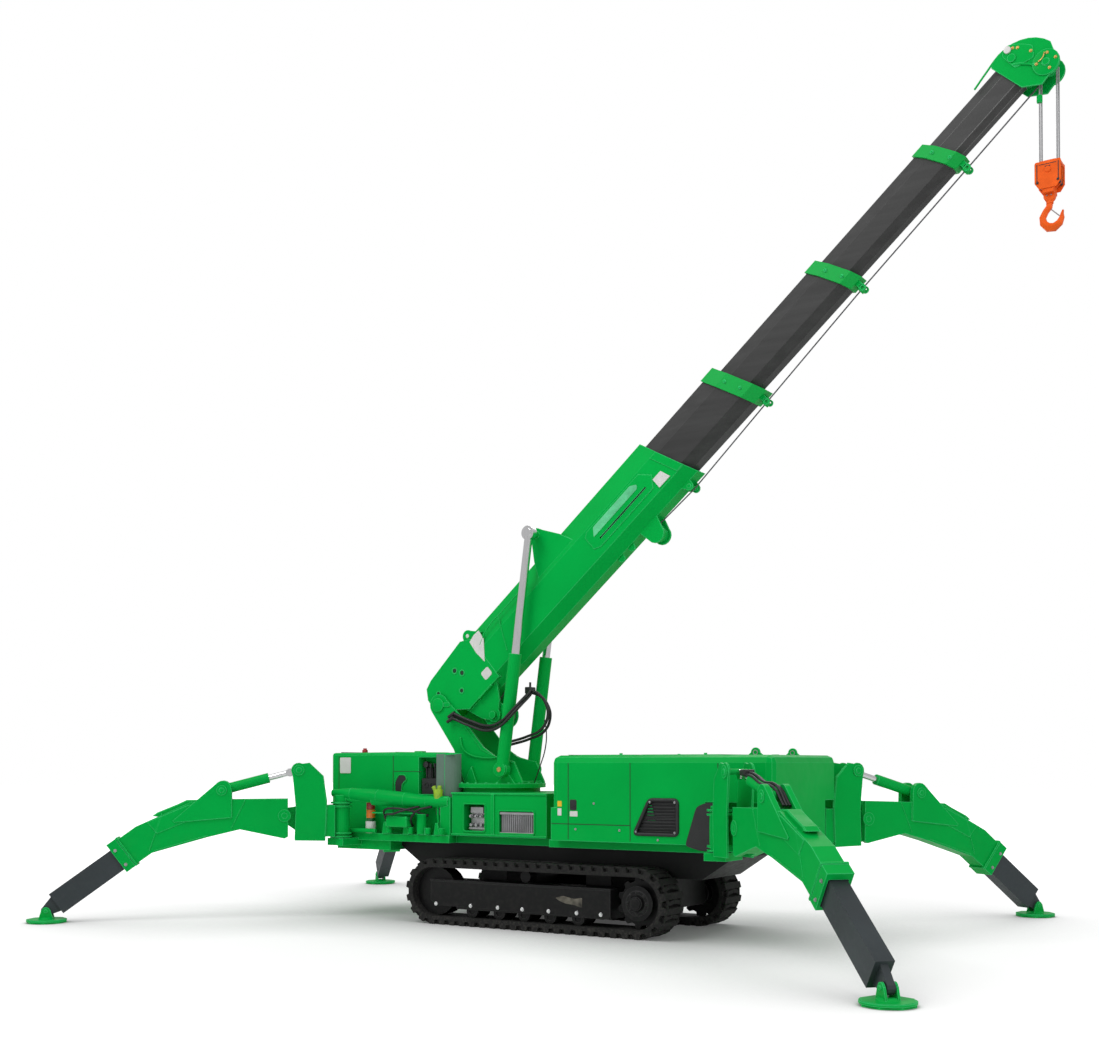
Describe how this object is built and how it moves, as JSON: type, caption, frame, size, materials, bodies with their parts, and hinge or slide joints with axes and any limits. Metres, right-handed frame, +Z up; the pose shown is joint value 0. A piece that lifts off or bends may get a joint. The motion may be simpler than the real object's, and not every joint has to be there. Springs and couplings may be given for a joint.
{
  "type": "tracked spider crane",
  "caption": "Compact crane on rubber tracks with an octagonal telescopic boom, twin luffing cylinders, a hook on rope falls and folding outrigger legs with ankle pads.",
  "frame": {"origin": "on the ground, in the middle of the outriggers' stance", "axes": "+X toward the engine hood, +Y to the far side, +Z up"},
  "size_m": [7.6471, 5.1327, 6.1011],
  "materials": {
    "green": "gloss",
    "black": "satin",
    "rubber": "matt",
    "boom_grey": "satin",
    "leg_grey": "satin",
    "steel": "satin",
    "chrome": "polished",
    "orange": "satin",
    "lens": "gloss"
  },
  "bodies": {
    "chassis": {"chassis_frame": "black", "deck": "green", "turntable_base": "green", "valve_block": "steel", "oil_cooler": "steel", "near_track": "rubber", "far_track": "rubber", "near_track_frame": "black", "far_track_frame": "black", "near_sprocket": "black", "far_sprocket": "black", "engine_hood": "green", "grille": "black", "engine": "steel", "control_cover": "green", "control_console": "black", "lamp_tower": "lens"},
    "turret": {"turret": "green"},
    "boom_base": {"boom_base": "green"},
    "winch": {"winch_drum": "green"},
    "section_2": {"boom_section_2": "boom_grey"},
    "section_3": {"boom_section_3": "boom_grey"},
    "section_4": {"boom_section_4": "boom_grey"},
    "section_5": {"boom_section_5": "boom_grey", "boom_head": "green"},
    "falls": {"hoist_rope": "chrome"},
    "block": {"hook_block": "orange"},
    "hook": {"hook": "orange"},
    "near_luff_barrel": {"near_luff_barrel": "green"},
    "near_luff_rod": {"near_luff_rod": "chrome"},
    "far_luff_barrel": {"far_luff_barrel": "green"},
    "far_luff_rod": {"far_luff_rod": "chrome"},
    "near_rear_bracket": {"near_rear_bracket": "green"},
    "near_rear_arm": {"near_rear_arm": "green"},
    "near_rear_leg": {"near_rear_leg": "leg_grey"},
    "near_rear_pad": {"near_rear_pad": "green"},
    "near_rear_jack_barrel": {"near_rear_jack_barrel": "green"},
    "near_rear_jack_rod": {"near_rear_jack_rod": "chrome"},
    "far_rear_bracket": {"far_rear_bracket": "green"},
    "far_rear_arm": {"far_rear_arm": "green"},
    "far_rear_leg": {"far_rear_leg": "leg_grey"},
    "far_rear_pad": {"far_rear_pad": "green"},
    "far_rear_jack_barrel": {"far_rear_jack_barrel": "green"},
    "far_rear_jack_rod": {"far_rear_jack_rod": "chrome"},
    "near_front_bracket": {"near_front_bracket": "green"},
    "near_front_arm": {"near_front_arm": "green"},
    "near_front_leg": {"near_front_leg": "leg_grey"},
    "near_front_pad": {"near_front_pad": "green"},
    "near_front_jack_barrel": {"near_front_jack_barrel": "green"},
    "near_front_jack_rod": {"near_front_jack_rod": "chrome"},
    "far_front_bracket": {"far_front_bracket": "green"},
    "far_front_arm": {"far_front_arm": "green"},
    "far_front_leg": {"far_front_leg": "leg_grey"},
    "far_front_pad": {"far_front_pad": "green"},
    "far_front_jack_barrel": {"far_front_jack_barrel": "green"},
    "far_front_jack_rod": {"far_front_jack_rod": "chrome"}
  },
  "joints": [
    {"name": "slew", "type": "hinge", "parent": "chassis", "child": "turret", "pos_m": [-0.7, -0.13151, 1.09], "axis": [0, 0, 1], "continuous": true},
    {"name": "boom_luff", "type": "hinge", "parent": "turret", "child": "boom_base", "pos_m": [-1.219, -0.13151, 1.776], "axis": [0, -1, 0], "range_deg": [-38, 20]},
    {"name": "winch_spin", "type": "hinge", "parent": "boom_base", "child": "winch", "pos_m": [-0.69001, -0.13151, 1.68488], "axis": [0, -1, 0], "continuous": true},
    {"name": "telescope_2", "type": "slide", "parent": "boom_base", "child": "section_2", "axis": [0.7524, 0, 0.6587], "range_m": [-0.6, 1.3]},
    {"name": "telescope_3", "type": "slide", "parent": "section_2", "child": "section_3", "axis": [0.7524, 0, 0.6587], "range_m": [-0.9, 0.9]},
    {"name": "telescope_4", "type": "slide", "parent": "section_3", "child": "section_4", "axis": [0.7524, 0, 0.6587], "range_m": [-0.9, 0.9]},
    {"name": "telescope_5", "type": "slide", "parent": "section_4", "child": "section_5", "axis": [0.7524, 0, 0.6587], "range_m": [-0.52, 0.52]},
    {"name": "hook_hang", "type": "hinge", "parent": "section_5", "child": "falls", "pos_m": [3.72535, -0.13151, 5.9051], "axis": [0, -1, 0], "range_deg": [-20, 38]},
    {"name": "hoist", "type": "slide", "parent": "falls", "child": "block", "axis": [0, 0, -1], "range_m": [-0.4, 3], "deforming": ["hoist_rope"]},
    {"name": "hook_swivel", "type": "hinge", "parent": "block", "child": "hook", "pos_m": [3.72535, -0.13151, 5.0551], "axis": [0, 0, 1], "continuous": true},
    {"name": "near_luff_barrel_pin", "type": "hinge", "parent": "turret", "child": "near_luff_barrel", "pos_m": [-0.528, -0.35951, 1.235], "axis": [0, -1, 0], "range_deg": [-32.01, 17.08]},
    {"name": "near_luff_stroke", "type": "slide", "parent": "near_luff_barrel", "child": "near_luff_rod", "axis": [0.1365, 0, 0.9906], "range_m": [-0.52362, 0.27606]},
    {"name": "far_luff_barrel_pin", "type": "hinge", "parent": "turret", "child": "far_luff_barrel", "pos_m": [-0.528, 0.09649, 1.235], "axis": [0, -1, 0], "range_deg": [-32.01, 17.08]},
    {"name": "far_luff_stroke", "type": "slide", "parent": "far_luff_barrel", "child": "far_luff_rod", "axis": [0.1365, 0, 0.9906], "range_m": [-0.52362, 0.27606]},
    {"name": "near_rear_swing", "type": "hinge", "parent": "chassis", "child": "near_rear_bracket", "pos_m": [-1.9, -0.75151, 0.665], "axis": [0, 0, 1], "range_deg": [-8, 45]},
    {"name": "near_rear_lift", "type": "hinge", "parent": "near_rear_bracket", "child": "near_rear_arm", "pos_m": [-2.24093, -1.07503, 0.851], "axis": [-0.6884, 0.7254, 0], "range_deg": [-3, 20]},
    {"name": "near_rear_extend", "type": "slide", "parent": "near_rear_arm", "child": "near_rear_leg", "axis": [-0.5847, -0.5549, -0.5918], "range_m": [-0.12, 0.12]},
    {"name": "near_rear_pad_tilt", "type": "hinge", "parent": "near_rear_leg", "child": "near_rear_pad", "pos_m": [-3.60714, -2.37153, 0.095], "axis": [-0.6884, 0.7254, 0], "range_deg": [-15, 15]},
    {"name": "near_rear_jack_pin", "type": "hinge", "parent": "near_rear_arm", "child": "near_rear_jack_barrel", "pos_m": [-2.60874, -1.42408, 1.06447], "axis": [-0.6884, 0.7254, 0], "range_deg": [-6.26, 1.36]},
    {"name": "near_rear_jack_stroke", "type": "slide", "parent": "near_rear_jack_barrel", "child": "near_rear_jack_rod", "axis": [0.7017, 0.6659, 0.2535], "range_m": [-0.12446, 0.01952]},
    {"name": "far_rear_swing", "type": "hinge", "parent": "chassis", "child": "far_rear_bracket", "pos_m": [-1.9, 0.48849, 0.665], "axis": [0, 0, -1], "range_deg": [-8, 45]},
    {"name": "far_rear_lift", "type": "hinge", "parent": "far_rear_bracket", "child": "far_rear_arm", "pos_m": [-2.26783, 0.78107, 0.851], "axis": [0.6225, 0.7826, 0], "range_deg": [-3, 20]},
    {"name": "far_rear_extend", "type": "slide", "parent": "far_rear_arm", "child": "far_rear_leg", "axis": [-0.6185, 0.492, -0.6127], "range_m": [-0.04, 0.2]},
    {"name": "far_rear_pad_tilt", "type": "hinge", "parent": "far_rear_leg", "child": "far_rear_pad", "pos_m": [-3.67638, 1.90149, 0.095], "axis": [0.6225, 0.7826, 0], "range_deg": [-15, 15]},
    {"name": "far_rear_jack_pin", "type": "hinge", "parent": "far_rear_arm", "child": "far_rear_jack_barrel", "pos_m": [-2.6689, 1.1001, 1.05113], "axis": [0.6225, 0.7826, 0], "range_deg": [-6.4, 1.38]},
    {"name": "far_rear_jack_stroke", "type": "slide", "parent": "far_rear_jack_barrel", "child": "far_rear_jack_rod", "axis": [0.7534, -0.5993, 0.2705], "range_m": [-0.12335, 0.01935]},
    {"name": "near_front_swing", "type": "hinge", "parent": "chassis", "child": "near_front_bracket", "pos_m": [1.6, -0.75151, 0.665], "axis": [0, 0, -1], "range_deg": [-8, 45]},
    {"name": "near_front_lift", "type": "hinge", "parent": "near_front_bracket", "child": "near_front_arm", "pos_m": [1.94374, -1.07205, 0.851], "axis": [-0.682, -0.7314, 0], "range_deg": [-3, 20]},
    {"name": "near_front_extend", "type": "slide", "parent": "near_front_arm", "child": "near_front_leg", "axis": [0.5998, -0.5593, -0.5722], "range_m": [-0.2, 0.04]},
    {"name": "near_front_pad_tilt", "type": "hinge", "parent": "near_front_leg", "child": "near_front_pad", "pos_m": [3.38217, -2.41341, 0.095], "axis": [-0.682, -0.7314, 0], "range_deg": [-15, 15]},
    {"name": "near_front_jack_pin", "type": "hinge", "parent": "near_front_arm", "child": "near_front_jack_barrel", "pos_m": [2.3107, -1.41425, 1.07667], "axis": [-0.682, -0.7314, 0], "range_deg": [-6.14, 1.35]},
    {"name": "near_front_jack_stroke", "type": "slide", "parent": "near_front_jack_barrel", "child": "near_front_jack_rod", "axis": [-0.7104, 0.6625, 0.2376], "range_m": [-0.12548, 0.01967]},
    {"name": "far_front_swing", "type": "hinge", "parent": "chassis", "child": "far_front_bracket", "pos_m": [1.8, 0.48849, 0.665], "axis": [0, 0, 1], "range_deg": [-8, 45]},
    {"name": "far_front_lift", "type": "hinge", "parent": "far_front_bracket", "child": "far_front_arm", "pos_m": [2.04906, 0.88708, 0.851], "axis": [0.848, -0.5299, 0], "range_deg": [-3, 20]},
    {"name": "far_front_extend", "type": "slide", "parent": "far_front_arm", "child": "far_front_leg", "axis": [0.4188, 0.6702, -0.6127], "range_m": [-0.04, 0.2]},
    {"name": "far_front_pad_tilt", "type": "hinge", "parent": "far_front_leg", "child": "far_front_pad", "pos_m": [3.00282, 2.41341, 0.095], "axis": [0.848, -0.5299, 0], "range_deg": [-15, 15]},
    {"name": "far_front_jack_pin", "type": "hinge", "parent": "far_front_arm", "child": "far_front_jack_barrel", "pos_m": [2.32064, 1.32169, 1.05113], "axis": [0.848, -0.5299, 0], "range_deg": [-6.4, 1.38]},
    {"name": "far_front_jack_stroke", "type": "slide", "parent": "far_front_jack_barrel", "child": "far_front_jack_rod", "axis": [-0.5102, -0.8164, 0.2705], "range_m": [-0.12335, 0.01935]}
  ],
  "couplings": [
    {"joint": "telescope_4", "follows": "telescope_3", "ratio": 1},
    {"joint": "telescope_5", "follows": "telescope_3", "ratio": 0.5777},
    {"joint": "hook_hang", "follows": "boom_luff", "ratio": -1},
    {"joint": "near_luff_barrel_pin", "follows": "boom_luff", "ratio": 0.8292},
    {"joint": "near_luff_stroke", "follows": "boom_luff", "m_per_rad": 0.788},
    {"joint": "far_luff_barrel_pin", "follows": "boom_luff", "ratio": 0.8292},
    {"joint": "far_luff_stroke", "follows": "boom_luff", "m_per_rad": 0.788},
    {"joint": "near_rear_jack_pin", "follows": "near_rear_lift", "ratio": -0.2882},
    {"joint": "near_rear_jack_stroke", "follows": "near_rear_lift", "m_per_rad": -0.3537},
    {"joint": "far_rear_jack_pin", "follows": "far_rear_lift", "ratio": -0.2948},
    {"joint": "far_rear_jack_stroke", "follows": "far_rear_lift", "m_per_rad": -0.3505},
    {"joint": "near_front_jack_pin", "follows": "near_front_lift", "ratio": -0.2818},
    {"joint": "near_front_jack_stroke", "follows": "near_front_lift", "m_per_rad": -0.3566},
    {"joint": "far_front_jack_pin", "follows": "far_front_lift", "ratio": -0.2948},
    {"joint": "far_front_jack_stroke", "follows": "far_front_lift", "m_per_rad": -0.3505}
  ]
}
